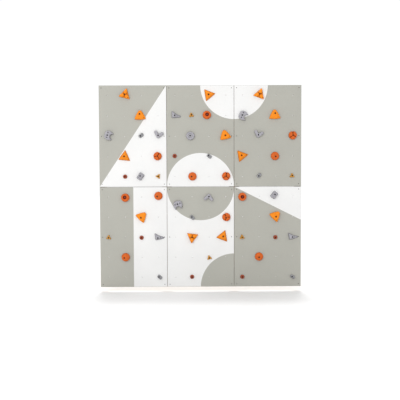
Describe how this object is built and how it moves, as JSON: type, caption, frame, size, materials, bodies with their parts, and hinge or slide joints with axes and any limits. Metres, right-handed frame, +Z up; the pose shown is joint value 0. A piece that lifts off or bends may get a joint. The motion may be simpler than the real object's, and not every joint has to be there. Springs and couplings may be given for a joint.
{
  "type": "rock climbing wall",
  "caption": "Flat wall-hung climbing wall of two-tone rectangular boards on upright battens, with bolted resin holds in several shapes on a grid of threaded sockets.",
  "frame": {"origin": "centre of the outer fixing pattern, on the face of the building wall, at the backs of the battens", "axes": "+X to the right as the climber sees it, +Y into the building wall, +Z up"},
  "size_m": [2.997, 0.118, 2.997],
  "materials": {
    "board_laminate": "satin painted birch plywood in two tones, pale grey and white",
    "batten_pine": "planed softwood",
    "amber_resin": "gritty cast resin",
    "red_resin": "gritty cast resin",
    "grey_resin": "gritty cast resin",
    "small_red_resin": "gritty cast resin",
    "small_amber_resin": "gritty cast resin",
    "small_grey_resin": "gritty cast resin",
    "zinc_steel": "bright zinc plated",
    "black_steel": "black oxide"
  },
  "bodies": {
    "root": {"block_1": "grey_resin", "block_2": "grey_resin", "board_bottom_left": "board_laminate", "board_bottom_middle": "board_laminate", "board_bottom_right": "board_laminate", "board_screws": "black_steel", "board_top_left": "board_laminate", "board_top_middle": "board_laminate", "board_top_right": "board_laminate", "bolt_washers": "zinc_steel", "boomerang_1": "grey_resin", "boomerang_2": "grey_resin", "boomerang_3": "grey_resin", "claw_1": "grey_resin", "claw_2": "grey_resin", "claw_3": "grey_resin", "dished_triangle_1": "amber_resin", "dished_triangle_2": "amber_resin", "dished_triangle_3": "amber_resin", "dished_triangle_4": "amber_resin", "dished_triangle_5": "amber_resin", "dome_disc_1": "red_resin", "dome_disc_2": "red_resin", "dome_disc_3": "red_resin", "dome_disc_4": "red_resin", "dome_disc_5": "red_resin", "hold_bolts_long": "black_steel", "hold_bolts_short": "black_steel", "left_edge_batten": "batten_pine", "left_seam_batten": "batten_pine", "lobed_disc_1": "red_resin", "lobed_disc_2": "red_resin", "lobed_disc_3": "red_resin", "lobed_disc_4": "red_resin", "lobed_triangle_1": "amber_resin", "lobed_triangle_2": "amber_resin", "lobed_triangle_3": "amber_resin", "pin_screws": "black_steel", "puck_1": "grey_resin", "pyramid_triangle_1": "amber_resin", "pyramid_triangle_2": "amber_resin", "pyramid_triangle_3": "amber_resin", "pyramid_triangle_4": "amber_resin", "right_edge_batten": "batten_pine", "right_seam_batten": "batten_pine", "ring_disc_1": "red_resin", "ring_disc_2": "red_resin", "ring_disc_3": "red_resin", "small_amber_knobs": "small_amber_resin", "small_grey_pads": "small_grey_resin", "small_red_knobs": "small_red_resin", "threaded_inserts": "zinc_steel", "wedge_1": "grey_resin", "wedge_2": "grey_resin", "wedge_3": "grey_resin"}
  },
  "joints": []
}
